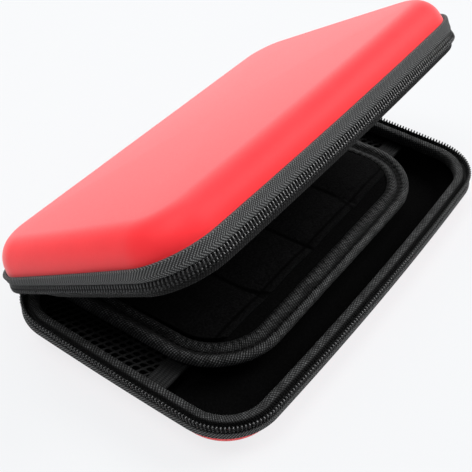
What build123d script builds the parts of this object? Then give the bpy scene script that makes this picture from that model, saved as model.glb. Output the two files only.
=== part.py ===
from build123d import *
from math import cos, radians, sin, tan
import os

# A zip-up clamshell case for a folding handheld console, standing open on its flat bottom.
# Origin: centre of the tray's flat underside. +X along the long side, +Y to the hinge, +Z up.
# All lengths in millimetres.

# Case as a whole, measured over the zip teeth with the lid closed
case_length = 180.0
case_width = 109.0
half_height = 16.0
corner_radius = 22.0
front_bow = 2.4
side_bow = 0.8

# Cloth spine: hinge line from the zip's outer edge and the rim plane, and how far the lid's rim stands open
hinge_behind = 3.2
hinge_below_rim = 2.3
lid_open_angle = 32.0
spine_thickness = 1.2

# The lid is deeper in front: its shell is tipped up from its rim by this angle
lid_tip = 1.5

# Foam shell of each half
shell_wall = 2.6
shell_inset = 1.9
shell_draft = 8.0
shell_edge_round = 10.0
shell_rim_drop = 4.2

# Cloth lining, glued inside the shell
lining_thickness = 0.8
glue_gap = 0.1

# Zip tape and teeth, heights from the rim plane
tape_thickness = 1.2
tape_edge_height = 5.2
tooth_length = 3.2
tooth_depth = 1.2
tooth_lean = 15.0
tooth_pitch = 3.8
tooth_width = 1.4
tooth_reach = 0.5
zip_groove = 1.1

# Edging that rolls over the inside of the rim
binding_width = 3.6
binding_top_drop = 0.7
binding_round = 1.8
binding_seat_gap = 0.3

# Lip of the lid's edging, which drops into the tray's zip groove along the front and sides
lip_thickness = 0.5
lip_reach = 2.8
lip_root = 2.0
lip_back_gap = 20.0

# Net pocket in the tray, depths from the rim plane
net_drop = 7.2
net_thickness = 0.7
net_front = 17.5
net_hole_length = 8.0
net_hole_width = 3.0
net_hole_angle = 35.0
net_columns = 12
net_rows = 4
net_margin = 6.0
band_width = 8.0
band_thickness = 1.5
band_ribs = 5
band_groove_depth = 0.4
band_groove_width = 0.5
fit_gap = 0.15

# Card page over the net
flap_side_gap = 13.1
flap_front_gap = 10.3
flap_corner_radius = 28.5
flap_tilt = 2.0
flap_net_gap = 0.2
flap_thickness = 2.0
flap_back_gap = 1.9
flap_binding_wall = 0.7
flap_binding_width = 9.6
flap_strip_thickness = 0.9

# Card pockets on the page
pocket_count = 4
pocket_depth = 38.0
pocket_width = 32.5
pocket_mouth_setback = 14.3
pocket_puff = 1.3
pocket_cloth = 0.7

# Zip slider, parked at the end of the zip, and its pull
slider_length = 8.0
slider_end_gap = 1.5
slider_plate = 1.0
slider_clearance = 0.3
slider_inner_clearance = 0.1
slider_binding_clearance = 0.4
slider_drop = 2.4
slider_seat_gap = 0.8
slider_web = 0.35
bridge_length = 6.4
bridge_height = 1.6
bridge_thickness = 0.8
pin_diameter = 1.0
pin_clearance = 0.4
pull_length = 19.0
pull_width = 5.4
pull_thickness = 1.0
pull_window = 3.9
pull_arm = 0.9
pull_corner = 1.6

# Values worked out from the sizes above
back_edge = case_width / 2
tape_inset = shell_inset - glue_gap - tape_thickness
cavity_inset = shell_inset + shell_wall
lining_inset = cavity_inset + glue_gap
inside_inset = lining_inset + lining_thickness
shell_top_inside = half_height - shell_wall
lining_top = shell_top_inside - glue_gap
inside_top = lining_top - lining_thickness
lid_shell_angle = lid_open_angle + lid_tip
lid_skirt = (case_width + front_bow + hinge_behind) * tan(radians(lid_tip))
tooth_rise = tooth_depth * sin(radians(tooth_lean)) - tooth_reach
tooth_top = tooth_length * cos(radians(tooth_lean)) + tooth_rise
tooth_back = tooth_length * sin(radians(tooth_lean)) + tooth_depth * cos(radians(tooth_lean))
binding_inset = tooth_back + zip_groove
lip_inset = tooth_back + (zip_groove - lip_thickness) / 2
binding_inner = binding_inset + binding_width
spine_length = case_length - 2 * (corner_radius + slider_length + 2 * slider_end_gap)
flap_length = case_length - 2 * (inside_inset + flap_side_gap)
flap_depth = case_width - 2 * inside_inset - flap_back_gap - flap_front_gap
flap_back_drop = net_drop - flap_net_gap - flap_binding_wall - glue_gap
flap_strip_drop = flap_back_drop - flap_strip_thickness
binding_bottom_drop = flap_strip_drop - fit_gap
binding_seat = shell_rim_drop - glue_gap
slider_inner_plate = zip_groove - slider_inner_clearance - slider_binding_clearance
hinge_axis = Axis((0, back_edge + hinge_behind, half_height - hinge_below_rim), (-1, 0, 0))
rim_hinge_axis = Axis((0, back_edge + hinge_behind, -hinge_below_rim), (-1, 0, 0))


# Shared shapes, drawn with the rim plane at Z 0 and the half's outside towards +Z

def outline(inset):
    """Plan outline of the case, set in from the zip's outer edge: bowed sides, round corners."""
    a = case_length / 2
    b = case_width / 2
    front = ThreePointArc((-a, -b), (0, -b - front_bow), (a, -b))
    right = ThreePointArc((a, -b), (a + side_bow, 0), (a, b))
    back = Line((a, b), (-a, b))
    left = ThreePointArc((-a, b), (-a - side_bow, 0), (-a, -b))
    face = make_face([front, right, back, left])
    face = fillet(face.vertices(), corner_radius)
    if inset > 0:
        face = offset(face, amount=-inset)
    return face


def slab(inset, low, high):
    """The outline as a plate between two heights."""
    return Pos(0, 0, low) * extrude(outline(inset), amount=high - low)


def ring(outer_inset, inner_inset, low, high):
    """A band that follows the outline."""
    return slab(outer_inset, low, high) - slab(inner_inset, low, high)


def bowl(inset, rim, knee, top, edge_round):
    """Solid form of one half: upright at the rim, drafted above the knee, with a round upper edge."""
    wall = top - knee
    upper = Pos(0, 0, knee) * extrude(outline(inset), amount=wall, taper=shell_draft)
    body = slab(inset, rim, knee) + upper
    top_edges = body.faces().sort_by(Axis.Z)[-1].edges()
    return fillet(top_edges, min(edge_round, 1.1 * wall))


def cavity(extra):
    """Space inside the lining, set in by a further gap."""
    edge_round = shell_edge_round - shell_wall - glue_gap - lining_thickness
    return bowl(inside_inset + extra, -lid_skirt, tape_edge_height, inside_top - extra, edge_round)


# One half of the case, and where each half goes

def trimmed(body, tip, level):
    """The body tipped about the hinge line, so that it is deeper in front, and cut off at a level."""
    below = Box(2 * case_length, 2 * case_width, case_width, align=(Align.CENTER, Align.CENTER, Align.MAX))
    return body.rotate(rim_hinge_axis, tip) - Pos(0, 0, level) * below


def make_shell(tip):
    rim = shell_rim_drop - lid_skirt
    outer = bowl(shell_inset, rim, tape_edge_height, half_height, shell_edge_round)
    inner_round = shell_edge_round - shell_wall
    inner = bowl(cavity_inset, rim, tape_edge_height, shell_top_inside, inner_round)
    return trimmed(outer - inner, tip, shell_rim_drop)


def make_lining(tip):
    rim = shell_rim_drop - lid_skirt
    edge_round = shell_edge_round - shell_wall - glue_gap
    outer = bowl(lining_inset, rim, tape_edge_height, lining_top, edge_round)
    return trimmed(outer - cavity(0), tip, shell_rim_drop)


def make_rim_binding():
    """Edging with a hooked section: a rolled top over the shell's edge and a leg down its inside."""
    body = ring(binding_inset, binding_inner, binding_top_drop, binding_bottom_drop)
    rolled = body.faces().sort_by(Axis.Z)[0]
    body = fillet(rolled.inner_wires()[0].edges(), binding_round)
    seat_inner = inside_inset + binding_seat_gap
    return body - ring(binding_inset - glue_gap, seat_inner, binding_seat, binding_bottom_drop)


def make_lid_lip():
    """Thin lip past the lid's teeth, with the root that joins it to the edging, left out at the back."""
    lip = ring(lip_inset, lip_inset + lip_thickness, -lip_reach, binding_seat)
    root = ring(lip_inset, binding_inset + glue_gap, lip_root, binding_seat)
    back = Box(2 * case_length, case_width, case_width, align=(Align.CENTER, Align.MIN, Align.CENTER))
    return lip + root - Pos(0, back_edge - lip_back_gap, 0) * back


def make_zip_tape(tip):
    """Tape round the outside of the rim, standing proud of the shell, left open at the spine."""
    low = tooth_top + glue_gap
    body = ring(tape_inset, tape_inset + tape_thickness, low - lid_skirt, tape_edge_height)
    body = trimmed(body, tip, low)
    block = Box(spine_length, case_width, case_width, align=(Align.CENTER, Align.MIN, Align.CENTER))
    return body - Pos(0, back_edge - corner_radius, 0) * block


def make_zip_teeth(side, phase, end_gap):
    """Row of teeth that lean outwards, above the rim plane (side 1) or below it (side -1).

    The row leaves out the spine and, at one end of it, a further gap.
    """
    path = outline(0).face().outer_wire()
    count = round(path.length / tooth_pitch)
    tooth = Box(tooth_width, tooth_depth, tooth_length, align=(Align.CENTER, Align.MIN, Align.MIN))
    tooth = Pos(0, 0, tooth_rise) * Rot(-tooth_lean, 0, 0) * tooth
    if side < 0:
        tooth = mirror(tooth, about=Plane.XY)
    teeth = []
    for index in range(count):
        share = (index + phase) / count
        place = path.position_at(share)
        end_left = -spine_length / 2 - tooth_width
        end_right = spine_length / 2 + end_gap + tooth_width
        if place.Y > back_edge - tooth_depth and end_left < place.X < end_right:
            continue
        across = Plane(place, x_dir=path.tangent_at(share), z_dir=(0, 0, 1))
        teeth.append(across * tooth)
    return Compound(children=teeth)


def on_tray(body):
    return Pos(0, 0, half_height) * Rot(0, 180, 0) * body


def on_lid(body):
    return (Pos(0, 0, half_height) * body).rotate(hinge_axis, lid_open_angle)


# Net pocket with its elastic band

def make_net():
    """Flat net over the back of the tray, cut to the lining, with slanted holes in rows."""
    start = band_width - net_front
    sheet = Box(2 * case_length, case_width, net_thickness, align=(Align.CENTER, Align.MIN, Align.MIN))
    sheet = Pos(0, start + glue_gap, net_drop) * sheet
    sheet = sheet & cavity(fit_gap)
    clear_x = case_length - 2 * (inside_inset + net_margin)
    clear_y = back_edge - inside_inset - net_margin - start
    step_x = clear_x / net_columns
    step_y = clear_y / net_rows
    hole = Rot(0, 0, net_hole_angle) * Box(net_hole_length, net_hole_width, 4 * net_thickness)
    places = GridLocations(step_x, step_y, net_columns, net_rows)
    holes = [Pos(0, start + clear_y / 2, net_drop) * place * hole for place in places]
    return sheet - holes


def make_band():
    """Ribbed elastic along the front edge of the net, level with the net underneath."""
    low = net_drop + net_thickness - band_thickness
    strip = Box(2 * case_length, band_width, band_thickness, align=(Align.CENTER, Align.MIN, Align.MIN))
    strip = Pos(0, -net_front, low) * strip
    groove = Box(2 * case_length, band_groove_width, 2 * band_groove_depth)
    spacing = band_width / band_ribs
    for index in range(1, band_ribs):
        strip = strip - Pos(0, index * spacing - net_front, low) * groove
    return strip & cavity(fit_gap)


# Card page, drawn flat with its back edge on the X axis and its underside at Z 0

def flap_outline(inset):
    """Page outline: square at the back, large round corners in front; the back edge isn't set in."""
    wide = flap_length - 2 * inset
    deep = flap_depth - inset
    face = Pos(0, -deep / 2) * Rectangle(wide, deep)
    front_corners = face.vertices().sort_by(Axis.Y)[:2]
    return fillet(front_corners, flap_corner_radius - inset)


def flap_plate(inset, low, high):
    return Pos(0, 0, low) * extrude(flap_outline(inset), amount=high - low)


def make_flap_panel():
    return flap_plate(flap_binding_wall + glue_gap, 0, flap_thickness)


def make_flap_binding():
    """Edging folded over the page's free edges, a channel in section."""
    low = -flap_binding_wall - glue_gap
    high = flap_thickness + flap_binding_wall + glue_gap
    body = flap_plate(0, low, high)
    window = flap_plate(flap_binding_width, low, high)
    slot = flap_plate(flap_binding_wall, -glue_gap, flap_thickness + glue_gap)
    return body - window - slot


def make_card_pockets():
    """One sheet sewn to the page in lines, standing up in a low arch between each two seams."""
    start = -pocket_count * pocket_width / 2
    lines = []
    for index in range(pocket_count):
        left = start + index * pocket_width
        middle = left + pocket_width / 2
        right = left + pocket_width
        lines.append(ThreePointArc((left, 0), (middle, pocket_puff), (right, 0)))
        high = pocket_puff + pocket_cloth
        lines.append(ThreePointArc((left, pocket_cloth), (middle, high), (right, pocket_cloth)))
    lines.append(Line((start, 0), (start, pocket_cloth)))
    lines.append(Line((-start, 0), (-start, pocket_cloth)))
    section = Plane.XZ * make_face(lines)
    mouth = flap_depth - pocket_mouth_setback
    sheet = Pos(0, pocket_depth - mouth, flap_thickness + glue_gap) * extrude(section, amount=pocket_depth)
    inside = flap_plate(flap_binding_width + fit_gap, 0, half_height)
    return sheet & inside


def on_page(body):
    back_y = back_edge - inside_inset - flap_back_gap
    return Pos(0, back_y, half_height - flap_back_drop) * Rot(-flap_tilt, 0, 0) * body


def make_flap_strip():
    """Cloth strip from the page's back edge to the lining, under the rim binding's leg."""
    wide = flap_length - 2 * flap_binding_width
    strip = Box(wide, case_width, flap_strip_thickness, align=(Align.CENTER, Align.MIN, Align.MIN))
    front = back_edge - inside_inset - flap_back_gap + glue_gap
    return Pos(0, front, flap_strip_drop) * strip & cavity(glue_gap)


# Cloth spine, drawn as it bends with the lid at its stored angle

def spine_line(reach):
    """Line up the tray, arc round the hinge line and line up the lid, all at one distance from the hinge."""
    centre = hinge_axis.position
    tray_y = centre.Y - reach
    foot = Vector(tray_y, half_height - tape_edge_height)
    corner = Vector(tray_y, centre.Z + reach * tan(radians(lid_shell_angle / 2)))
    closed_end = Vector(reach, hinge_below_rim + tape_edge_height)
    end = Vector(centre.Y, centre.Z) + Vector(-closed_end.X, closed_end.Y).rotate(Axis.Z, -lid_shell_angle)
    return FilletPolyline(foot, corner, end, radius=reach)


def make_spine():
    """Cloth strip between two such lines."""
    near = hinge_behind + tape_inset
    inner = spine_line(near)
    outer = spine_line(near + spine_thickness)
    ends = [Line(inner @ 0, outer @ 0), Line(inner @ 1, outer @ 1)]
    section = Plane.YZ * make_face(inner.edges() + outer.edges() + ends)
    return extrude(section, amount=spine_length / 2 - glue_gap, both=True)


# Zip slider at the end of the zip, and its pull, both drawn about the pull's pin

slider_outer_face = back_edge + slider_clearance + slider_plate
pin_gap = pin_diameter + pin_clearance
pin_y = slider_outer_face + pin_gap / 2
pin_x = spine_length / 2 + slider_end_gap + slider_length / 2
slider_top = half_height + tooth_reach + fit_gap + slider_web
slider_bottom = half_height - slider_drop
pin_z = (slider_top + slider_bottom) / 2


def block(x_size, low_y, high_y, low_z, high_z):
    """Box centred on the pin along X, between set levels in Y and Z."""
    body = Box(x_size, high_y - low_y, high_z - low_z, align=(Align.CENTER, Align.MIN, Align.MIN))
    return Pos(pin_x, low_y, low_z) * body


def make_slider():
    """Two plates and a web that straddle the teeth, with a bridge for the pull on the outer plate."""
    inner_high = back_edge - tooth_back - slider_inner_clearance
    inner_low = inner_high - slider_inner_plate
    web_low = slider_top - slider_web
    plate_low = slider_outer_face - slider_plate
    outer = block(slider_length, plate_low, slider_outer_face, slider_bottom, slider_top)
    outer = chamfer(outer.edges().filter_by(Axis.Y), slider_plate)
    inner_bottom = half_height - shell_rim_drop + slider_seat_gap
    inner = block(slider_length, inner_low, inner_high, inner_bottom, slider_top)
    web = block(slider_length / 2, inner_low, slider_outer_face, web_low, slider_top)
    bridge_high = slider_outer_face + pin_gap + bridge_thickness
    low_z = pin_z - bridge_height / 2
    high_z = pin_z + bridge_height / 2
    bridge = block(bridge_length, slider_outer_face, bridge_high, low_z, high_z)
    bridge = chamfer(bridge.edges().filter_by(Axis.Z).sort_by(Axis.Y)[-2:], bridge_thickness / 2)
    eye_high = bridge_high - bridge_thickness
    eye = block(bridge_length - 2 * bridge_thickness, slider_outer_face, eye_high, low_z, high_z)
    return outer + inner + web + (bridge - eye)


def make_pull():
    """Flat tab with a window that leaves a round pin, which turns under the slider's bridge."""
    tab = Pos(-pull_length / 2, 0) * Rectangle(pull_length, pull_width)
    tab = chamfer(tab.vertices().sort_by(Axis.X)[:2], pull_corner)
    window_high = bridge_height + 2 * pin_clearance
    window = Pos(-pull_window / 2, 0) * Rectangle(pull_window, window_high)
    profile = Plane.XZ * (tab - window)
    body = extrude(profile, amount=pull_thickness / 2, both=True)
    pin = Cylinder(pin_diameter / 2, window_high + 2 * pull_arm)
    return Pos(pin_x, pin_y, pin_z) * (body + pin)


# Nodes of the part, by the name of the file each is written to

rim_binding = make_rim_binding()

nodes = {
    "tray_shell": on_tray(make_shell(0)),
    "tray_lining": on_tray(make_lining(0)),
    "tray_rim_binding": on_tray(rim_binding),
    "tray_zip_tape": on_tray(make_zip_tape(0)),
    "tray_zip_teeth": Pos(0, 0, half_height) * make_zip_teeth(-1, 0.0, 0),
    "mesh_pocket": on_tray(make_net()),
    "mesh_pocket_band": on_tray(make_band()),
    "flap_panel": on_page(make_flap_panel()),
    "flap_binding": on_page(make_flap_binding()),
    "card_pockets": on_page(make_card_pockets()),
    "flap_hinge_strip": on_tray(make_flap_strip()),
    "spine_strip": make_spine(),
    "zip_slider": make_slider(),
    "zip_pull": make_pull(),
    "lid_shell": on_lid(make_shell(lid_tip)),
    "lid_lining": on_lid(make_lining(lid_tip)),
    "lid_rim_binding": on_lid(rim_binding + make_lid_lip()),
    "lid_zip_tape": on_lid(make_zip_tape(lid_tip)),
    "lid_zip_teeth": on_lid(make_zip_teeth(1, 0.5, slider_length + 2 * slider_end_gap)),
}

os.makedirs("parts", exist_ok=True)
for name, body in nodes.items():
    export_step(body, f"parts/{name}.step")
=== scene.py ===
"""Looks of an open zip-up carrying case for a folding handheld console.

Each piece is worked out in millimetres in the frame of the part: +X along the long side, +Y to the
hinge, +Z up. Pieces of a half are drawn in rim terms, which are inset from the zip's outer edge and
height above the rim plane, and are then put on the tray or on the open lid.
"""

from math import atan2, cos, pi, radians, sin, sqrt, tan

import bmesh
import bpy
import numpy as np
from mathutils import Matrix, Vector


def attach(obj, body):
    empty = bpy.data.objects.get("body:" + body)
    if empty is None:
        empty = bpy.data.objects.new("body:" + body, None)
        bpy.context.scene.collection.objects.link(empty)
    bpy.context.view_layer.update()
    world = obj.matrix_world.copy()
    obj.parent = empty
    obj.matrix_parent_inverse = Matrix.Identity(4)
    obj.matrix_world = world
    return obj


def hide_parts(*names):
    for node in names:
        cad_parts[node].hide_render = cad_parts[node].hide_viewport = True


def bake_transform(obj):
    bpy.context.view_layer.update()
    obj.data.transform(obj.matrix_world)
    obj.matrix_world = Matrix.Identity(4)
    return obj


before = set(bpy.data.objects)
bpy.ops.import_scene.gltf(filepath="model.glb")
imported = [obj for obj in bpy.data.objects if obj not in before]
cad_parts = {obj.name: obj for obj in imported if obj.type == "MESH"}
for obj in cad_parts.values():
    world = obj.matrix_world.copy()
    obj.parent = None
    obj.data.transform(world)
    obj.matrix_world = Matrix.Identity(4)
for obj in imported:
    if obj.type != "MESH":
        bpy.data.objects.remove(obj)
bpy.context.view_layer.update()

MM = 0.001
scene = bpy.context.scene

# Case over the zip's outer edge
case_length = 180.0
case_width = 109.0
corner_radius = 22.0
front_bow = 2.4
side_bow = 0.8
rim_height = 16.0
back_edge = case_width / 2
spine_half = 57.0

# Foam shell and its lining: inset of the wall, height of the rim edge, top, round of the edge, wall
knee = 5.2
shell_sizes = dict(inset=1.9, rim=4.25, top=16.0, edge_round=10.0, wall=2.5)
lining_sizes = dict(inset=4.65, rim=4.3, top=13.3, edge_round=7.3, wall=0.8)
wall_draft = radians(8.0)
lid_crown = 0.9

# Zip: the coil leans outwards, with its heads at the rim plane
coil_pitch = 1.38
coil_wire = 0.31
coil_lean = radians(15.0)
coil_rise = -0.19
coil_top = 3.0
spine_end_clear = 1.8
slider_gap = 12.4
lip_back = 34.3
lip_taper = 24.0
rim_steps = 640

# Net pocket: drops below the rim plane, steps from hole to hole, sag, and its border and elastic
net_drop = 7.55
net_step_along = np.array([2.45, -1.3])
net_step_down = np.array([0.0, 3.2])
net_start = np.array([0, 20.0])
net_inset = 7.4
net_sag = 0.45
net_sag_middle = 18
net_sag_depth = 70
net_wall = 0.4
border_insets = 5.95, 8.6
border_overlap = 6.0
band_front = -17.5
band_width = 8.0
band_reach = 84.6
band_overlap = 6.5
band_top_drop = 6.75
band_under_drop = 7.9
band_cords = 5
cord_hump = 0.36

# Card page: its place and outline, the stitched channel in its edging, and its pockets
page_back = 47.2
page_height = 9.8
page_tilt = radians(2.0)
page_length = 143.0
page_depth = 86.0
page_corner = 28.5
page_thickness = 2.0
page_edging = 9.6
page_strip_reach = 61.8
channel_inset = 4.6
channel_swing = 1.0
stitch_pitch = 3.2
stitch_length = 2.1
stitch_inset = 4.7
stitch_height = 2.42
thread_radius = 0.17
pocket_width = 32.5
pocket_depth = 38.0
pocket_mouth = 14.3
pocket_lift = 0.62
pocket_puff = 1.25
pocket_wall = 0.5

# Lid: hinge line, angle of the rim, and the further angle by which its shell is tipped up in front
hinge_y = back_edge + 3.2
hinge_drop = 2.3
hinge_z = rim_height - hinge_drop
rim_angle = radians(32.0)
lid_tip = radians(1.5)
shell_angle = rim_angle + lid_tip

# Cloth spine: distance of its outer face, middle and inner face from the hinge line, and its two ends
spine_outer_reach = 3.85
spine_inner_reach = 4.9
spine_on_tray = 2.9
spine_on_lid = 7.4


# Paths and sections


def arc(centre, radius, start, end):
    """Points about 0.25 mm apart on a circle, from one angle to another, and the vectors to its centre."""
    count = max(3, int(abs(end - start) * radius / 0.25))
    angle = np.linspace(start, end, count, endpoint=False)
    away = np.stack([np.cos(angle), np.sin(angle)], 1)
    return np.asarray(centre) + radius * away, -away


def straight(start, end, across):
    """Points about 0.25 mm apart on a line, each with the same vector across it."""
    start, end = np.array(start, float), np.array(end, float)
    count = max(3, int(np.linalg.norm(end - start) / 0.25))
    share = np.linspace(0, 1, count, endpoint=False)[:, None]
    return start + share * (end - start), np.tile(np.array(across, float), (count, 1))


def joined(pieces, closed):
    """One path from pieces in order: distance along it, points, and unit vectors to its inner side."""
    points = np.concatenate([piece[0] for piece in pieces])
    across = np.concatenate([piece[1] for piece in pieces])
    if closed:
        points = np.concatenate([points, points[:1]])
        across = np.concatenate([across, across[:1]])
    steps = np.linalg.norm(np.diff(points, axis=0), axis=1)
    return np.concatenate([[0], np.cumsum(steps)]), points, across


def rim_outline():
    """Zip's outer edge, anticlockwise from the middle of the hinge side.

    The back is straight, and the sides and the front are shallow arcs. A corner's centre lies one
    corner radius inside both of its neighbours, so the arcs meet without a kink. The right half is the
    left half mirrored.
    """
    a, b, r = case_length / 2, case_width / 2, corner_radius
    side_radius = (b**2 + side_bow**2) / (2 * side_bow)
    front_radius = (a**2 + front_bow**2) / (2 * front_bow)
    side = np.array([side_radius - a - side_bow, 0.0])
    front = np.array([0.0, front_radius - b - front_bow])
    back_corner = np.array([side[0] - sqrt((side_radius - r) ** 2 - (b - r) ** 2), b - r])
    gap = front - side
    apart = np.linalg.norm(gap)
    along_gap = ((side_radius - r) ** 2 - (front_radius - r) ** 2 + apart**2) / (2 * apart)
    off_gap = sqrt((side_radius - r) ** 2 - along_gap**2)
    unit = gap / apart
    front_corner = side + along_gap * unit + off_gap * np.array([-unit[1], unit[0]])
    first = atan2(*(back_corner - side)[::-1])
    second = atan2(*(front_corner - side)[::-1]) % (2 * pi)
    third = atan2(*(front_corner - front)[::-1]) % (2 * pi)
    left = [
        straight((0, b), (back_corner[0], b), (0, -1)),
        arc(back_corner, r, pi / 2, first),
        arc(side, side_radius, first, second),
        arc(front_corner, r, second, third),
        arc(front, front_radius, third, 1.5 * pi),
    ]
    mirror = np.array([-1.0, 1.0])
    points = np.concatenate([piece[0] for piece in left])
    across = np.concatenate([piece[1] for piece in left])
    middle = (np.array([[0.0, -b - front_bow]]), np.array([[0.0, 1.0]]))
    right = (points[:0:-1] * mirror, across[:0:-1] * mirror)
    return joined([(points, across), middle, right], closed=True)


def page_outline(inset=0.0):
    """Free edges of the card page from its back left corner to its back right one, round in front."""
    wide, deep, r = page_length / 2 - inset, page_depth - inset, page_corner - inset
    pieces = [
        straight((-wide, 0), (-wide, r - deep), (1, 0)),
        arc((r - wide, r - deep), r, pi, 1.5 * pi),
        straight((r - wide, -deep), (wide - r, -deep), (0, 1)),
        arc((wide - r, r - deep), r, 1.5 * pi, 2 * pi),
        straight((wide, r - deep), (wide, 0), (-1, 0)),
    ]
    return joined(pieces, closed=False)


def along(path, distance):
    """Points of a path at the given distances, and unit vectors to its inner side there."""
    far, points, across = path
    at = np.stack([np.interp(distance, far, points[:, axis]) for axis in (0, 1)], -1)
    inward = np.stack([np.interp(distance, far, across[:, axis]) for axis in (0, 1)], -1)
    return at, inward / np.linalg.norm(inward, axis=-1, keepdims=True)


def rounded(points, rounds=3):
    """A closed section with cut corners: each round cuts each side at its quarter and three quarters."""
    points = np.array(points, float)
    for _ in range(rounds):
        after = np.roll(points, -1, 0)
        cut = np.stack([0.75 * points + 0.25 * after, 0.25 * points + 0.75 * after], 1)
        points = cut.reshape(-1, points.shape[1])
    return points


def run_length(section, closed=True):
    """Distance along a section to each of its points, and for a closed one also back to the first."""
    if closed:
        section = np.concatenate([section, section[:1]])
    return np.concatenate([[0], np.cumsum(np.linalg.norm(np.diff(section, axis=0), axis=1))])


def swept(path, distance, section):
    """A section carried along a path: point = path + inset * inward, at the section's own height."""
    at, inward = along(path, distance)
    plan = at[:, None] + inward[:, None] * section[None, :, :1]
    height = np.broadcast_to(section[None, :, 1:], plan.shape[:2] + (1,))
    return np.concatenate([plan, height], 2)


def capped(grid):
    """A tube's grid with both ends drawn in to the middle of their rings."""
    middle = grid.mean(axis=-2, keepdims=True)
    first = np.broadcast_to(middle[..., :1, :, :], grid[..., :1, :, :].shape)
    last = np.broadcast_to(middle[..., -1:, :, :], grid[..., -1:, :, :].shape)
    return np.concatenate([first, grid, last], axis=-3)


def with_ends(values):
    """Values along a tube, with the first and the last doubled for its closed ends."""
    return np.concatenate([values[:1], values, values[-1:]])


def tube(line, radius, sides, up=(0.0, 0.0, 1.0)):
    """Round tube on a line: each ring lies square to the line, turned to one fixed direction."""
    line = np.asarray(line, float)
    ahead = np.gradient(line, axis=-2)
    ahead /= np.linalg.norm(ahead, axis=-1, keepdims=True)
    side = np.cross(ahead, np.array(up))
    side /= np.linalg.norm(side, axis=-1, keepdims=True)
    top = np.cross(side, ahead)
    angle = np.linspace(0, 2 * pi, sides, endpoint=False)[:, None]
    ring = side[..., None, :] * np.cos(angle) + top[..., None, :] * np.sin(angle)
    radius = np.broadcast_to(np.asarray(radius, float), line.shape[:-1])
    return capped(line[..., None, :] + radius[..., None, None] * ring)


def copies(shape, path, distance):
    """Copies of a shape in local terms (ahead, inward, height), one at each distance along a path."""
    at, inward = along(path, distance)
    ahead = np.stack([inward[:, 1], -inward[:, 0]], 1)
    spread = (slice(None),) + (None,) * (shape.ndim - 1)
    plan = at[spread] + ahead[spread] * shape[None, ..., :1] + inward[spread] * shape[None, ..., 1:2]
    height = np.broadcast_to(shape[None, ..., 2:], plan.shape[:-1] + (1,))
    return np.concatenate([plan, height], -1)


# Where the halves and the page go


def on_tray(points):
    """Rim terms to the tray: the half's outside is down."""
    return points * np.array([1, 1, -1.0]) + np.array([0, 0, rim_height])


def on_lid(points):
    """Rim terms to the open lid: up by the rim's height, then turned about the hinge line."""
    y = points[..., 1] - hinge_y
    z = points[..., 2] + hinge_drop
    c, s = cos(rim_angle), sin(rim_angle)
    return np.stack([points[..., 0], hinge_y + c * y + s * z, hinge_z - s * y + c * z], -1)


def tipped(points, tip, low):
    """Rim terms of a half that is deeper in front: turned by the tip about the hinge line above the knee.

    The turn fades out from the knee down to a low level, where the half's edge stays level.
    """
    share = tip * np.clip((points[..., 2] - low) / (knee - low), 0, 1)
    y = points[..., 1] + share * (points[..., 2] + hinge_drop)
    z = points[..., 2] + share * (hinge_y - points[..., 1])
    return np.stack([points[..., 0], y, z], -1)


def on_page(points):
    """Page terms, with the back edge on the X axis and the underside at 0, to the tray."""
    c, s = cos(page_tilt), sin(page_tilt)
    y = points[..., 1] * c + points[..., 2] * s + page_back
    z = -points[..., 1] * s + points[..., 2] * c + page_height
    return np.stack([points[..., 0], y, z], -1)


# Meshes


def make_mesh(name, grid, finish, loop_u=False, loop_v=False, u=None, v=None, sharp=60):
    """Mesh of one grid of points, or of a stack of them, with a face between each four neighbours.

    A loop joins the last row or column to the first. u and v are the millimetres along the rows and
    columns for the cloth map. Doubled points, such as those of a pole, are merged.
    """
    grid = grid if grid.ndim == 4 else grid[None]
    many, nu, nv = grid.shape[:3]
    row, column = np.meshgrid(
        np.arange(nu if loop_u else nu - 1), np.arange(nv if loop_v else nv - 1), indexing="ij"
    )
    rows = np.stack([row, row + 1, row + 1, row], -1).reshape(-1, 4)
    columns = np.stack([column, column, column + 1, column + 1], -1).reshape(-1, 4)
    faces = rows % nu * nv + columns % nv
    faces = (faces[None] + np.arange(many)[:, None, None] * nu * nv).reshape(-1, 4)
    mesh = bpy.data.meshes.new(name)
    mesh.from_pydata((grid.reshape(-1, 3) * MM).tolist(), [], faces.tolist())
    u = np.arange(nu + 1.0) if u is None else np.asarray(u)
    v = np.arange(nv + 1.0) if v is None else np.asarray(v)
    layer = mesh.uv_layers.new(name="cloth")
    corners = np.tile(np.stack([u[rows], v[columns]], -1), (many, 1, 1))
    layer.uv.foreach_set("vector", corners.astype(np.float32).ravel())
    tidy = bmesh.new()
    tidy.from_mesh(mesh)
    bmesh.ops.remove_doubles(tidy, verts=tidy.verts, dist=2e-6)
    bmesh.ops.recalc_face_normals(tidy, faces=tidy.faces)
    tidy.to_mesh(mesh)
    tidy.free()
    mesh.shade_smooth()
    mesh.set_sharp_from_angle(angle=radians(sharp))
    mesh.materials.append(finish.material)
    piece = bpy.data.objects.new(name, mesh)
    scene.collection.objects.link(piece)
    return piece


def straight_strip(name, x, section, finish, sharp=60):
    """Mesh of a closed section of y and z carried straight along X, with its ends closed."""
    rows = (len(x), len(section))
    parts = np.broadcast_to(x[:, None, None], rows + (1,)), np.broadcast_to(section, rows + (2,))
    grid = capped(np.concatenate(parts, 2))
    return make_mesh(name, grid, finish, False, True, with_ends(x), run_length(section), sharp)


def settle(piece, body, slot, *nodes):
    """The piece rides a body and stands for CAD nodes. The slot is not used."""
    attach(piece, body)
    if nodes:
        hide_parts(*nodes)
    return piece


# Finishes


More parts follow.
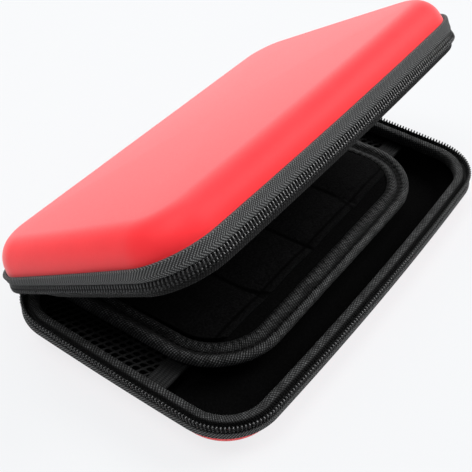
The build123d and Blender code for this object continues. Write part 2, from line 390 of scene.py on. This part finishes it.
class Wire:
    """An output socket on which sums add Math nodes."""

    def __init__(self, finish, socket):
        self.finish = finish
        self.socket = socket

    def __add__(self, other):
        return self.finish.math("ADD", self, other)

    def __sub__(self, other):
        return self.finish.math("SUBTRACT", self, other)

    def __rsub__(self, other):
        return self.finish.math("SUBTRACT", other, self)

    def __mul__(self, other):
        return self.finish.math("MULTIPLY", self, other)

    def __truediv__(self, other):
        return self.finish.math("DIVIDE", self, other)

    def __pow__(self, other):
        return self.finish.math("POWER", self, other)

    __radd__ = __add__
    __rmul__ = __mul__

    def wave(self):
        """Sine of the value in turns, from 0 to 1."""
        return 0.5 + 0.5 * self.finish.math("SINE", self * (2 * pi))


class Finish:
    """A material: a Principled shader, with the nodes that feed it."""

    def __init__(self, name, **constants):
        self.material = bpy.data.materials.new(name)
        self.material.use_nodes = True
        self.tree = self.material.node_tree
        self.shader = self.tree.nodes["Principled BSDF"]
        for socket, value in constants.items():
            self.shader.inputs[socket.replace("_", " ")].default_value = value

    def put(self, socket, value):
        """Links a wire to a socket, or sets the socket's value."""
        if isinstance(value, Wire):
            self.tree.links.new(value.socket, socket)
        else:
            socket.default_value = value

    def node(self, kind, settings=None, sockets=None, out=0):
        """Any node: its settings first, a ramp's stops among them, then its sockets' values or links."""
        node = self.tree.nodes.new(kind)
        for name, value in (settings or {}).items():
            if name == "stops":
                for index, (place, shade) in enumerate(value):
                    stops = node.color_ramp.elements
                    stop = stops[index] if index < len(stops) else stops.new(place)
                    stop.position = place
                    stop.color = shade
            else:
                setattr(node, name, value)
        for name, value in (sockets or {}).items():
            self.put(node.inputs[name], value)
        return Wire(self, node.outputs[out])

    def math(self, operation, first, second=0.0):
        """Math node on one or two values."""
        return self.node("ShaderNodeMath", {"operation": operation}, {0: first, 1: second})

    def place(self):
        """Object coordinates."""
        return self.node("ShaderNodeTexCoord", out="Object")

    def cloth_map(self):
        """Millimetres along and across the cloth."""
        at = self.node("ShaderNodeUVMap", {"uv_map": "cloth"})
        split = self.node("ShaderNodeSeparateXYZ", None, {0: at})
        return split, Wire(self, split.socket.node.outputs[1])

    def noise(self, size, detail=2.0, roughness=0.5, stretch=None):
        """Noise from 0 to 1 with features of about the given size in millimetres."""
        at = self.place()
        if stretch is not None:
            at = self.node("ShaderNodeMapping", None, {"Vector": at, "Scale": stretch})
        sockets = {"Vector": at, "Scale": 1 / (size * MM), "Detail": detail, "Roughness": roughness}
        return self.node("ShaderNodeTexNoise", None, sockets)

    def ramp(self, value, *stops):
        """Grey ramp through stops of place and shade."""
        stops = [(place, (shade, shade, shade, 1)) for place, shade in stops]
        return self.node("ShaderNodeValToRGB", {"stops": stops}, {0: value})

    def blend(self, share, dark, light):
        """Colour between two, by a share from 0 to 1."""
        sockets = {0: share, 6: (*dark, 1), 7: (*light, 1)}
        return self.node("ShaderNodeMix", {"data_type": "RGBA"}, sockets, 2)

    def paint(self, colour, roughness, relief, depth, strength=1.0):
        """Feeds colour, roughness and a bump of the given depth in millimetres."""
        self.put(self.shader.inputs["Base Color"], colour)
        self.put(self.shader.inputs["Roughness"], roughness)
        sockets = {"Strength": strength, "Distance": depth * MM, "Height": relief}
        self.put(self.shader.inputs["Normal"], self.node("ShaderNodeBump", None, sockets))


def red_leatherette():
    """Soft satin skin: fine pebbled grain, faint mottling."""
    finish = Finish("red_leatherette", Specular_IOR_Level=0.25, Sheen_Weight=0.32, Sheen_Roughness=0.4)
    sockets = {"Vector": finish.place(), "Scale": 1 / (0.7 * MM)}
    pebbles = finish.node("ShaderNodeTexVoronoi", {"feature": "SMOOTH_F1"}, sockets)
    grain = pebbles * 0.7 + finish.noise(0.3, 3) * 0.3
    mottle = finish.noise(9, 4)
    colour = finish.blend(mottle, (0.86, 0.020, 0.028), (0.95, 0.032, 0.040))
    finish.paint(colour, 0.5 + 0.12 * grain + 0.06 * mottle, grain, 0.05, 0.35)
    return finish


def herringbone_tape():
    """Twill whose lines turn back at each column, of uneven yarn, with painted shade where it turns in under
    the coil.
    """
    finish = Finish("herringbone_tape", Specular_IOR_Level=0.25)
    length, width = finish.cloth_map()
    fold = finish.math("PINGPONG", width - 3.4, 3.2)
    twill = ((length + fold) / 1.15).wave()
    yarn = ((length - fold * 0.8) / 0.8).wave()
    weave = twill * (0.4 + 0.6 * yarn)
    # painted shade: the flange that turns in under the coil is darkened to almost black
    outside = finish.ramp(width / 10, (0.33, 0.02), (0.46, 1.0))
    shade = (weave * 0.8 + finish.noise(0.8, 3) * 0.2) * outside
    colour = finish.blend(shade**1.5, (0.004, 0.0041, 0.0041), (0.24, 0.245, 0.245))
    finish.paint(colour, 0.62 + 0.2 * (1 - weave), weave, 0.2, 1.0)
    return finish


def grosgrain(name, dark, light, groove=None, channel=None):
    """Ribbed edging: slanted ribs with crossing yarns.

    It has painted shade on its first millimetres if they lie in a groove, and along a stitched channel with
    the strip inside it.
    """
    finish = Finish(name, Specular_IOR_Level=0.25)
    length, width = finish.cloth_map()
    rib = ((length + width * 0.5) / 1.05).wave()
    yarn = ((width - length * 0.35) / 0.95).wave()
    weave = rib * (0.3 + 0.7 * yarn)
    uneven = finish.noise(4, 3)
    tufts = finish.ramp(finish.noise(1.0, 3), (0.35, 0.6), (0.65, 1.0))
    worn = finish.ramp(uneven, (0.35, 0.6), (0.6, 1.0))
    shade = (weave * 0.8 + finish.noise(0.9, 3) * 0.2) * tufts * worn
    if groove is not None:
        # painted shade on the first millimetres, which lie in the groove beside the coil
        shade = shade * finish.ramp(width / 8.0, (groove / 8.0, 0.1), (groove / 8.0 + 0.07, 1.0))
    if channel is not None:
        # painted shade along the stitched channel's valley, over the strip inside it and at its inner edge
        from_channel = finish.math("ABSOLUTE", width - channel + 4.0 * (finish.noise(6, 2) - 0.5))
        at = channel / 10
        inner_strip_shade = finish.ramp(width / 10, (0.1, 0.12), (0.22, 0.72), (at, 0.72), (at + 0.1, 1.0))
        shade = shade * inner_strip_shade * finish.ramp(from_channel / 4.0, (0.15, 0.04), (0.55, 1.0))
    colour = finish.blend(shade**1.5, dark, light)
    finish.paint(colour, 0.6 + 0.25 * (1 - weave), weave, 0.2, 1.0)
    return finish


def coil_plastic():
    """Drawn nylon: almost black, half gloss, faintly streaked."""
    finish = Finish("coil_nylon", Specular_IOR_Level=0.75)
    streak = finish.noise(0.6, 3)
    colour = finish.blend(streak, (0.003, 0.003, 0.0031), (0.050, 0.051, 0.052))
    finish.paint(colour, 0.2 + 0.2 * streak, streak, 0.03, 0.4)
    return finish


def pile_cloth(name, dark, light, lint, seams=False):
    """Short brushed pile: almost black, with a nap of fine hairs and pale lint here and there.

    On the pocket cloth it has painted shade along the seams, a painted shadow along the hem line, and painted
    light that makes it brighter towards the mouth.
    """
    finish = Finish(name, Specular_IOR_Level=0.03, Sheen_Weight=0.004, Sheen_Roughness=0.5)
    nap = finish.ramp(finish.noise(0.9, 4, 0.65), (0.35, 0.0), (0.65, 1.0))
    brushed = finish.noise(7, 3)
    hairs = finish.ramp(finish.noise(0.9, 5, 0.7), (0.6, 0.0), (0.75, 1.0))
    specks = hairs * finish.ramp(brushed, (0.45, 0.0), (0.7, 1.0)) * lint
    shade = nap * 0.7 + brushed * 0.3 + specks
    if seams:
        across, run = finish.cloth_map()
        # painted shade along the pocket seams, painted shadow along the hem line, and painted light brighter
        # towards the mouth
        seam = finish.math("PINGPONG", across, pocket_width / 2)
        seam_shade = finish.ramp(seam / 3.0, (0.12, 0.0), (0.45, 1.0))
        hem = finish.ramp(finish.math("ABSOLUTE", run - 3.2) / 2.0, (0.1, 0.15), (0.45, 1.0))
        shade = shade * seam_shade * hem * (1.25 - run / 60)
    colour = finish.blend(shade, dark, light)
    finish.paint(colour, 0.85 + 0.1 * nap, nap, 0.15, 0.7)
    return finish


def net_yarn():
    """Knitted strand: bundled filaments that run along it."""
    finish = Finish("net_yarn", Specular_IOR_Level=0.3)
    filament = finish.noise(0.35, 3)
    colour = finish.blend(filament, (0.001, 0.001, 0.0011), (0.012, 0.0122, 0.0125))
    finish.paint(colour, 0.55 + 0.25 * filament, filament, 0.08, 0.6)
    return finish


def woven_elastic():
    """Elastic webbing: cords along it bound by fine crossing yarns."""
    finish = Finish("woven_elastic", Specular_IOR_Level=0.25)
    length, width = finish.cloth_map()
    yarn = (length / 0.8).wave()
    shade = yarn * 0.5 + finish.noise(0.4, 3) * 0.5
    colour = finish.blend(shade, (0.002, 0.002, 0.0021), (0.020, 0.0205, 0.021))
    finish.paint(colour, 0.65 + 0.2 * (1 - yarn), shade, 0.1, 0.7)
    return finish


def dark_metal():
    """Painted zinc: dark, half gloss, a little worn to roughness."""
    finish = Finish("dark_metal", Metallic=0.55, Coat_Weight=0.15)
    worn = finish.noise(1.5, 4)
    colour = finish.blend(worn, (0.030, 0.031, 0.033), (0.060, 0.061, 0.064))
    finish.paint(colour, 0.3 + 0.2 * worn, worn, 0.02, 0.3)
    return finish


def twisted_thread():
    """Sewing thread: dark, matt, fine twist."""
    finish = Finish("sewing_thread", Specular_IOR_Level=0.1)
    twist = finish.noise(0.3)
    colour = finish.blend(twist, (0.002, 0.002, 0.002), (0.016, 0.016, 0.0165))
    finish.paint(colour, 0.6 + 0.2 * twist, twist, 0.03)
    return finish


red_skin = red_leatherette()
tape_cloth = herringbone_tape()
# painted shade: the rim edging is darkened in its groove, the page edging along its channel and inner strip
rim_edging = grosgrain("rim_edging", (0.002, 0.002, 0.0021), (0.18, 0.184, 0.185), groove=1.9)
page_edging_cloth = grosgrain("page_edging", (0.002, 0.002, 0.0021), (0.30, 0.306, 0.307), channel=5.4)
# The lid lip is a brighter copy of the rim edging, with painted light where it hangs in the coil's shadow and
# painted shade in its groove.
lit_lip_cloth = grosgrain("lit_lip_cloth", (0.003, 0.003, 0.0031), (0.36, 0.367, 0.368), groove=3.6)
spine_cloth = grosgrain("spine_cloth", (0.004, 0.004, 0.0042), (0.070, 0.071, 0.072))
coil_nylon = coil_plastic()
deep_black = (0.0003, 0.0003, 0.0003)
lining_pile = pile_cloth("lining_pile", deep_black, (0.003, 0.003, 0.0031), 3.0)
page_pile = pile_cloth("page_pile", deep_black, (0.005, 0.005, 0.0051), 0.8)
pocket_pile = pile_cloth("pocket_pile", deep_black, (0.0085, 0.0085, 0.0087), 0.5, seams=True)
strand_yarn = net_yarn()
elastic = woven_elastic()
slider_metal = dark_metal()
sewing_thread = twisted_thread()


# Halves of the case

rim_path = rim_outline()
rim_length = rim_path[0][-1]


def bowl(name, place, finish, crown, tip, level, inset, rim, top, edge_round, wall):
    """Thick shell of one half, from the middle of its outside over the rim to the middle of its inside.

    Each row follows the outline at one inset. The wall is upright to the knee, leans in by the draft,
    and turns through an arc onto the top, which rises by a crown. On the top a row is the arc's last row
    drawn in towards the middle, by a share from 1 to 0.
    """
    top_rows, arc_rows, wall_rows = 21, 16, 4

    def side(inset, top, edge_round):
        middle = inset + (top - edge_round - knee) * tan(wall_draft) + edge_round / cos(wall_draft)
        turn = np.linspace(pi / 2, wall_draft, arc_rows)
        share = np.concatenate([np.linspace(0, 1, top_rows + 1), np.ones(arc_rows - 1 + wall_rows)])
        arc_in = middle - edge_round * np.cos(turn)
        arc_up = top - edge_round + edge_round * np.sin(turn)
        wall_up = np.linspace(knee, rim + 0.15, wall_rows)
        ins = np.concatenate([np.full(top_rows, middle), arc_in, np.full(wall_rows, inset)])
        up = np.concatenate([np.full(top_rows, top), arc_up, wall_up])
        return ins, up + crown * (1 - share**2), share

    outer = side(inset, top, edge_round)
    inner = side(inset + wall, top - wall, max(edge_round - wall, 1))
    lip = np.array([inset + 0.3, inset + wall - 0.3]), np.array([rim, rim]), np.ones(2)
    ins, up, share = (np.concatenate([o, e, i[::-1]]) for o, e, i in zip(outer, lip, inner))
    distance = np.linspace(0, rim_length, 480, endpoint=False)
    grid = swept(rim_path, distance, np.stack([ins, up], 1))
    grid[..., :2] *= share[None, :, None]
    return make_mesh(name, place(tipped(grid, tip, level)), finish, loop_u=True, sharp=75)


def rim_strip(name, place, finish, section, start=0.0, tip=0.0, taper=0.0):
    """A rounded section carried round the rim, all the way or from a start to the mirrored end.

    Over a taper's length from each end, what hangs past the rim plane grows by a smooth step.
    """
    section = rounded(section)
    distance = np.linspace(start, rim_length - start, rim_steps + 1)
    grid = tipped(swept(rim_path, distance, section), tip, coil_top)
    across = run_length(grid[rim_steps // 2])
    if taper:
        share = np.clip(np.minimum(distance - start, rim_length - start - distance) / taper, 0, 1)
        hanging = grid[..., 2] * (share**2 * (3 - 2 * share))[:, None]
        grid[..., 2] = np.where(grid[..., 2] < 0, hanging, grid[..., 2])
    if start == 0:
        return make_mesh(name, place(grid[:-1]), finish, True, True, distance, across, sharp=80)
    return make_mesh(name, place(capped(grid)), finish, False, True, with_ends(distance), across, sharp=80)


tape_section = [
    (4.6, 4.18), (4.6, 3.95), (2.3, 3.75), (1.3, 3.1), (0.8, 3.02), (0.5, 3.3), (0.45, 4.1), (0.3, 4.6),
    (0.12, 4.9), (0.3, 5.35), (1.1, 5.45), (1.78, 5.3), (1.78, 4.3), (1.95, 4.15),
]
edging_section = [
    (3.15, 3.85), (3.12, 1.1), (3.7, 0.5), (5.2, 0.4), (6.4, 0.75), (6.9, 2.0), (6.9, 4.0), (6.6, 5.1),
    (5.8, 5.1), (5.72, 4.1), (5.3, 3.85),
]
lip_section = [
    (2.32, 3.6), (2.32, -2.3), (2.45, -2.75), (2.7, -2.75), (2.8, -2.3), (2.8, 2.3), (3.3, 2.6), (3.3, 3.6),
]
thread_section = [(0.02, 1.55), (0.02, 1.85), (0.25, 1.85), (0.25, 1.55)]
cord_section = [(0.62, 1.05), (0.62, 2.9), (0.85, 2.9), (0.85, 1.05)]


def leaned(deep, far):
    """Coil terms, which are depth from its outer face and distance from its heads, to inset and height."""
    c, s = cos(coil_lean), sin(coil_lean)
    return deep * c + far * s, far * c - deep * s + coil_rise


def coil(name, place, phase, right_gap):
    """Nylon coil: one bent wire per pitch, from the tape to the head on the outer side and back on the inner.

    The wire is a tube on a curve. Its outer leg dips in the middle, where a thread holds it down, and its
    inner leg runs over to the next loop. The head stands square, so that the other half's heads fit between.
    """
    ahead = coil_pitch * np.array([0.2, 0.16, 0.1, 0.03, 0.0, 0.0, 0.0, 0.12, 0.4])
    deep = np.array([0.45, 0.3, 0.47, 0.3, 0.36, 0.66, 0.92, 0.98, 0.95])
    far = np.array([3.1, 2.5, 1.7, 0.85, 0.38, 0.22, 0.5, 1.5, 2.9])
    reach, height = leaned(deep, far)
    loop = tube(np.stack([ahead, reach, height], 1), coil_wire, 6)
    first = spine_half + spine_end_clear
    last = rim_length - first - right_gap
    distance = np.arange(first + phase * coil_pitch, last, coil_pitch)
    return make_mesh(name, place(copies(loop, rim_path, distance)), coil_nylon, False, True)


def make_half(half, place, tip, crown, phase, right_gap):
    """All pieces that follow the rim of one half."""
    shell = bowl(f"{half}_skin", place, red_skin, crown, tip, coil_top, **shell_sizes)
    settle(shell, half, "red_skin", f"{half}_shell")
    lining = bowl(f"{half}_lining_cloth", place, lining_pile, 0.0, tip, lining_sizes["rim"], **lining_sizes)
    settle(lining, half, "lining_cloth", f"{half}_lining")
    tape = rim_strip(f"{half}_tape", place, tape_cloth, tape_section, spine_half, tip)
    settle(tape, half, "zip_tape_cloth", f"{half}_zip_tape")
    edging = rim_strip(f"{half}_edging", place, rim_edging, edging_section)
    settle(edging, half, "edging_cloth", f"{half}_rim_binding")
    teeth = coil(f"{half}_coil", place, phase, right_gap)
    settle(teeth, half, "zip_teeth_plastic", f"{half}_zip_teeth")
    start = spine_half + spine_end_clear + right_gap
    for piece, section in (("coil_thread", thread_section), ("coil_cord", cord_section)):
        line = np.stack(leaned(*np.array(section).T), 1)
        row = rim_strip(f"{half}_{piece}", place, sewing_thread, line, start)
        settle(row, half, "zip_tape_cloth")


make_half("tray", on_tray, 0.0, 0.0, 0.0, 0.0)
make_half("lid", on_lid, lid_tip, lid_crown, 0.5, slider_gap)

lip_start = rim_path[0][np.argmax(rim_path[1][:, 1] < lip_back)]
lid_lip = rim_strip("lid_edging_lip", on_lid, lit_lip_cloth, lip_section, lip_start, taper=lip_taper)
settle(lid_lip, "lid", "edging_cloth")


# Net pocket and its elastic


def net_cloth():
    """Knitted net: one cell per hole, each three rings of eight points from the cell's edge to the hole.

    A cell is the lattice's own parallelogram. Its edges along the strands stand up in the middle, where
    a strand is thickest, and its edges along the links lie lower. The whole sags a little in the middle.
    """
    column, row = np.meshgrid(np.arange(-40, 41), np.arange(-36, 37), indexing="ij")
    corner = column[..., None] * net_step_along + row[..., None] * net_step_down
    corner = corner.reshape(-1, 2) + net_start
    middle = corner + (net_step_along + net_step_down) / 2
    room = np.abs(middle) - np.array([case_length, case_width]) / 2 + corner_radius
    outside = np.linalg.norm(np.maximum(room, 0), axis=1) - corner_radius
    corner = corner[(outside < -net_inset) & (middle[:, 1] > band_front + band_overlap)]
    edge = np.array([(0, 0), (0.5, 0), (1, 0), (1, 0.5), (1, 1), (0.5, 1), (0, 1), (0, 0.5)])
    lift = np.array([0.05, 0.3, 0.05, -0.2, 0.05, 0.3, 0.05, -0.2])
    hole = (edge - 0.5) * np.array([0.84, 0.8])
    hole[::2] *= 0.84
    rings = np.stack([edge, 0.45 * edge + 0.55 * (hole + 0.5), hole + 0.5])
    lift = np.stack([lift, 0.75 * lift, lift - 0.3])
    plan = corner[:, None, None] + rings[..., :1] * net_step_along + rings[..., 1:] * net_step_down
    sag = net_sag * np.cos(plan[..., 0] * pi / case_length)
    sag = sag * np.cos((plan[..., 1] - net_sag_middle) * pi / net_sag_depth)
    grid = np.concatenate([plan, (rim_height - net_drop + lift - sag)[..., None]], -1)
    piece = make_mesh("net_cloth", grid, strand_yarn, False, True)
    wall = piece.modifiers.new("thickness", "SOLIDIFY")
    wall.thickness = net_wall * MM
    wall.offset = 0
    return piece


def elastic_band():
    """Flat elastic with rows of cords: a section with low humps on top, carried across on slow waves."""
    across = np.linspace(0, band_width, 46)
    under = np.linspace(band_width, 0, 12)
    humps = np.abs(np.sin(across * pi * band_cords / band_width)) ** 0.6
    section_y = np.concatenate([across, under]) + band_front
    top = rim_height - band_top_drop + cord_hump * humps
    section_z = np.concatenate([top, np.full(len(under), rim_height - band_under_drop)])
    x = np.linspace(-band_reach, band_reach, 90)
    y = section_y + 0.25 * np.sin(x / 23)[:, None]
    z = section_z + 0.2 * np.cos(x / 17)[:, None] - 0.3 * np.cos(x * pi / 169)[:, None]
    grid = np.stack([np.broadcast_to(x[:, None], y.shape), y, z], -1)
    run = run_length(np.stack([section_y, section_z], 1))
    return make_mesh("elastic_band", capped(grid), elastic, False, True, with_ends(x), run)


def net_border():
    """Flat tape that holds the net to the lining: a thin section carried round the back of the tray."""
    outer, inner = border_insets
    top, under = net_drop - 0.25, net_drop + 0.3
    section = rounded([(outer, top), (inner, top), (inner, under), (outer, under)], 2)
    distance = np.linspace(0, rim_length, rim_steps + 1)
    at, _ = along(rim_path, distance)
    kept = distance[at[:, 1] > band_front + border_overlap]
    left, right = kept[kept < rim_length / 2], kept[kept > rim_length / 2] - rim_length
    kept = np.concatenate([right, left])
    grid = on_tray(capped(swept(rim_path, kept % rim_length, section)))
    return make_mesh("net_border", grid, elastic, False, True, with_ends(kept), run_length(section))


net = settle(net_cloth(), "tray", "net_cloth", "mesh_pocket")
border = settle(net_border(), "tray", "net_cloth")
band = settle(elastic_band(), "tray", "elastic", "mesh_pocket_band")


# Card page

page_path = page_outline()
page_run = page_path[0][-1]

page_edging_section = [
    (9.0, 2.15), (9.05, 2.5), (8.4, 2.9), (7.3, 2.95), (6.3, 2.55), (5.4, 2.2), (4.6, 2.1), (3.8, 2.35),
    (3.0, 3.0), (1.8, 3.35), (0.6, 3.05), (-0.05, 2.1), (-0.05, 0.6), (0.3, -0.5), (1.4, -0.9), (5.0, -0.85),
    (9.3, -0.8), (9.4, -0.15), (5.0, -0.12), (0.85, -0.1), (0.75, 1.0), (0.85, 2.0), (4.6, 2.05),
]


def channel_shift(distance):
    """How far the stitched channel lies further in: one cosine over the page's free edges, out in front."""
    return channel_swing * np.cos(2 * pi * distance / page_run)


def page_edge():
    """Edging folded over the page's free edges, with a stitched channel along its top.

    The section has a wide outer roll, the channel and a narrow inner roll. The stitches pull it in:
    both rolls rise and fall by a wave along the edge, strongest beside the channel. The channel is
    shifted along the section by a bell about its own inset.
    """
    section = rounded(page_edging_section, 2)
    distance = np.linspace(0, page_run, 900)
    grid = swept(page_path, distance, section)
    inset, height = section[:, 0], section[:, 1]
    top = np.clip((height - 2.2) / 0.3, 0, 1)
    inner_roll = np.exp(-(((inset - 7.3) / 1.2) ** 2)) * top
    outer_lip = np.exp(-(((inset - 3.2) / 0.9) ** 2)) * top
    uneven = 0.25 * np.sin(distance / 4.7) * np.sin(distance / 11)
    pull = np.sin(distance * pi / stitch_pitch) ** 2 - 0.5 + uneven
    grid[..., 2] += pull[:, None] * (0.4 * inner_roll + 0.3 * outer_lip)[None]
    near = np.exp(-(((inset - channel_inset) / 2.4) ** 2)) * np.clip((height - 1.9) / 0.15, 0, 1)
    inward = along(page_path, distance)[1]
    grid[..., :2] += inward[:, None] * (channel_shift(distance)[:, None] * near)[..., None]
    length, width = with_ends(distance), run_length(section)
    return make_mesh("page_edge", on_page(capped(grid)), page_edging_cloth, False, True, length, width)


def page_stitches():
    """Stitches along the channel: thin tubes, one per pitch, on a line that dips into the cloth at both ends.

    Each is set in by the channel's own inset at its place.
    """
    distance = np.arange(stitch_pitch / 2, page_run, stitch_pitch)
    ahead = np.linspace(-0.5, 0.5, 5)
    line = np.stack([ahead * stitch_length, np.zeros_like(ahead), stitch_height - 1.1 * ahead**2], 1)
    row = copies(tube(line, thread_radius, 6), page_path, distance)
    inset = stitch_inset + channel_shift(distance)
    inward = along(page_path, distance)[1]
    row[..., :2] += (inward * inset[:, None])[:, None, None]
    return make_mesh("page_edge_stitches", on_page(row), sewing_thread, False, True)


def page_panel():
    """Thin padded page: rows of its outline drawn in to the middle, over the top and back underneath.

    The top rises by a low crown and by long shallow waves, the product of sines across and along it.
    """
    far, points, _ = page_outline(0.8)
    evenly = np.linspace(0, far[-1], 320)
    edge = np.stack([np.interp(evenly, far, points[:, axis]) for axis in (0, 1)], 1)
    back = np.linspace(edge[-1], edge[0], 120, endpoint=False)[1:]
    edge = np.concatenate([edge, back])
    middle = np.array([0, -page_depth / 2])
    top_rows, under_rows = 34, 16
    rim = [page_thickness - 0.3, 0.3]
    share = np.concatenate([np.linspace(0, 0.985, top_rows), [1, 1], np.linspace(0.985, 0, under_rows)])
    low = np.concatenate([np.full(top_rows, page_thickness), rim, np.zeros(under_rows)])
    crown = np.concatenate([np.ones(top_rows), np.zeros(len(rim) + under_rows)])
    plan = middle + share[None, :, None] * (edge[:, None] - middle)
    wave = np.sin(plan[..., 0] / 9.0 + 0.8) * np.sin(plan[..., 1] / 7.0) * 0.07
    height = low + crown * ((0.2 + wave) * (1 - share**4))
    grid = np.concatenate([plan, height[..., None]], -1)
    return make_mesh("page_panel", on_page(grid), page_pile, loop_u=True)


def pocket_sheet():
    """Cloth of the four card pockets: between two seams it stands up in a low arch, most at the mouth.

    Height = arch across the pocket * fall towards the sewn end, plus a rolled hem along the mouth and
    small puckers at the seams. The sheet's width follows the page's edging at the round corners.
    """
    run = np.linspace(0, pocket_depth, 70)
    y = -(page_depth - pocket_mouth) + run
    inner = page_edging + 0.35
    corner_y = page_corner - page_depth
    deep = np.clip(corner_y - y, 0, None)
    limit = page_length / 2 - page_corner + np.sqrt((page_corner - inner) ** 2 - deep**2)
    share = np.linspace(-1, 1, 260)
    x = share[:, None] * limit[None]
    across = (x / pocket_width + 2) % 1
    arch = (4 * across * (1 - across)) ** 0.6
    fall = 1 - (run / pocket_depth) ** 1.5

    def ridge(height, middle, width):
        return height * np.exp(-(((run - middle) / width) ** 2))

    hem = ridge(0.32, 1.4, 1.1) + ridge(0.16, 4.6, 0.7) - ridge(0.12, 3.2, 0.5)
    seam = np.exp(-((np.minimum(across, 1 - across) * pocket_width / 1.6) ** 2))
    pucker = 0.12 * seam * np.sin(run * 2 * pi / 2.6)[None]
    soft = 0.12 * np.sin(x / 4.1 + 1.0) * np.sin(run / 5.3 + x / 17) * arch
    body = page_thickness + pocket_lift + pocket_puff * arch * fall
    height = body + hem * (1 - 0.5 * seam) + pucker + soft
    grid = np.stack([x, np.broadcast_to(y, x.shape), height], -1)
    piece = make_mesh("pocket_sheet", on_page(grid), pocket_pile, u=share * limit.max(), v=run)
    wall = piece.modifiers.new("thickness", "SOLIDIFY")
    wall.thickness = pocket_wall * MM
    wall.offset = -1
    return piece


def page_hinge_strip():
    """Cloth strip from the page's back edge to the lining: a rounded section carried straight across."""
    outline = np.array([(0, -0.4), (0.9, -0.55), (1.75, -0.35), (1.75, 0.4), (0.9, 0.2), (0, 0.4)])
    section = rounded(outline + np.array([page_back - 0.1, page_height + 0.45]), 2)
    x = np.linspace(-page_strip_reach, page_strip_reach, 60)
    return straight_strip("page_hinge_strip", x, section, spine_cloth)


settle(page_panel(), "tray", "page_cloth", "flap_panel")
settle(page_edge(), "tray", "edging_cloth", "flap_binding")
pockets = settle(pocket_sheet(), "tray", "page_cloth", "card_pockets")
settle(page_hinge_strip(), "tray", "page_cloth", "flap_hinge_strip")
settle(page_stitches(), "tray", "edging_cloth")


# Cloth spine, zip slider and pull


def spine_band():
    """Cloth across the hinge: up the tray, round the hinge line through the lid's angle and up the lid.

    Both faces keep one distance from the hinge line. The section is carried straight along the hinge.
    """
    straight_tray = np.linspace(-spine_on_tray, 0, 14)
    turn = np.linspace(0, shell_angle, 24)[1:]
    straight_lid = np.linspace(0, spine_on_lid, 20)[1:]

    def face(reach):
        tray = np.stack([np.full(len(straight_tray), -reach), straight_tray], 1)
        bend = np.stack([-reach * np.cos(turn), reach * np.sin(turn)], 1)
        c, s = cos(shell_angle), sin(shell_angle)
        lid = np.stack([-c * reach + s * straight_lid, s * reach + c * straight_lid], 1)
        return np.concatenate([tray, bend, lid])

    faces = np.concatenate([face(spine_outer_reach), face(spine_inner_reach)[::-1]])
    x = np.linspace(-spine_half + 0.15, spine_half - 0.15, 120)
    return straight_strip("spine_band", x, faces + np.array([hinge_y, hinge_z]), spine_cloth, sharp=50)


def eased(node, name, width):
    """A rigid CAD node's shape with its edges eased by a narrow bevel."""
    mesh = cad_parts[node].data.copy()
    tidy = bmesh.new()
    tidy.from_mesh(mesh)
    bmesh.ops.remove_doubles(tidy, verts=tidy.verts, dist=2e-6)
    bmesh.ops.dissolve_limit(tidy, angle_limit=radians(2), verts=tidy.verts, edges=tidy.edges)
    tidy.to_mesh(mesh)
    tidy.free()
    mesh.materials.clear()
    mesh.materials.append(slider_metal.material)
    mesh.shade_smooth()
    piece = bpy.data.objects.new(name, mesh)
    scene.collection.objects.link(piece)
    edge = piece.modifiers.new("eased", "BEVEL")
    edge.width = width * MM
    edge.segments = 2
    edge.angle_limit = radians(25)
    edge.harden_normals = True
    return piece


spine = spine_band()
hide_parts("spine_strip")
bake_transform(spine)
settle(eased("zip_slider", "slider", 0.14), "tray", "zip_metal", "zip_slider")
settle(eased("zip_pull", "pull_tab", 0.18), "zip_pull", "zip_metal", "zip_pull")


# Camera, light and floor

scene.view_settings.view_transform = "Standard"

camera_data = bpy.data.cameras.new("camera")
camera_data.sensor_width = 36
camera_data.lens = 68.45
camera_data.shift_x = 0.0034
camera_data.shift_y = -0.0249
camera_data.clip_start = 0.01
camera = bpy.data.objects.new("camera", camera_data)
camera.location = Vector((-217.6, -146.6, 253.2)) * MM
camera.rotation_euler = Vector((0.597, 0.438, -0.672)).to_track_quat("-Z", "Y").to_euler()
scene.collection.objects.link(camera)
scene.camera = camera


def soft_lamp(name, place, size, power):
    """Square area lamp that faces the case."""
    lamp_data = bpy.data.lights.new(name, "AREA")
    lamp_data.size = size
    lamp_data.energy = power
    lamp = bpy.data.objects.new(name, lamp_data)
    lamp.location = place
    lamp.rotation_euler = (Vector((0, 0, 0.03)) - Vector(place)).to_track_quat("-Z", "Y").to_euler()
    scene.collection.objects.link(lamp)


soft_lamp("top_lamp", (-0.1, 0.2, 1.3), 0.9, 11)
soft_lamp("back_lamp", (0.8, 1.1, 0.45), 1.2, 13)
soft_lamp("front_lamp", (0.9, -0.6, 1.0), 0.7, 16)
soft_lamp("left_lamp", (-0.55, 0.1, 1.3), 0.4, 6)

world = bpy.data.worlds.new("studio")
world.use_nodes = True
world.node_tree.nodes["Background"].inputs["Color"].default_value = (0.95, 0.965, 1.0, 1)
world.node_tree.nodes["Background"].inputs["Strength"].default_value = 0.14
scene.world = world


def pale_floor():
    """Floor that keeps the case's soft shadow, mixed with plain white where it is seen or mirrored."""
    finish = Finish("pale_floor")
    finish.shader.inputs["Base Color"].default_value = (0.8, 0.806, 0.815, 1)
    finish.shader.inputs["Roughness"].default_value = 0.9
    outputs = finish.node("ShaderNodeLightPath").socket.node.outputs
    rays = [Wire(finish, outputs[f"Is {kind} Ray"]) for kind in ("Camera", "Glossy", "Transmission")]
    seen = finish.math("MAXIMUM", finish.math("MAXIMUM", rays[0], rays[1]), rays[2])
    glow = finish.node("ShaderNodeEmission", None, {"Color": (0.900, 0.911, 0.926, 1), "Strength": 1.0})
    sockets = {0: seen * 0.88, 1: Wire(finish, finish.shader.outputs[0]), 2: glow}
    mixed = finish.node("ShaderNodeMixShader", None, sockets)
    finish.put(finish.tree.nodes["Material Output"].inputs["Surface"], mixed)
    return finish


span = np.linspace(-3000, 3000, 3)
x, y = np.meshgrid(span, span, indexing="ij")
floor = make_mesh("floor", np.stack([x, y, np.zeros_like(x)], -1), pale_floor())
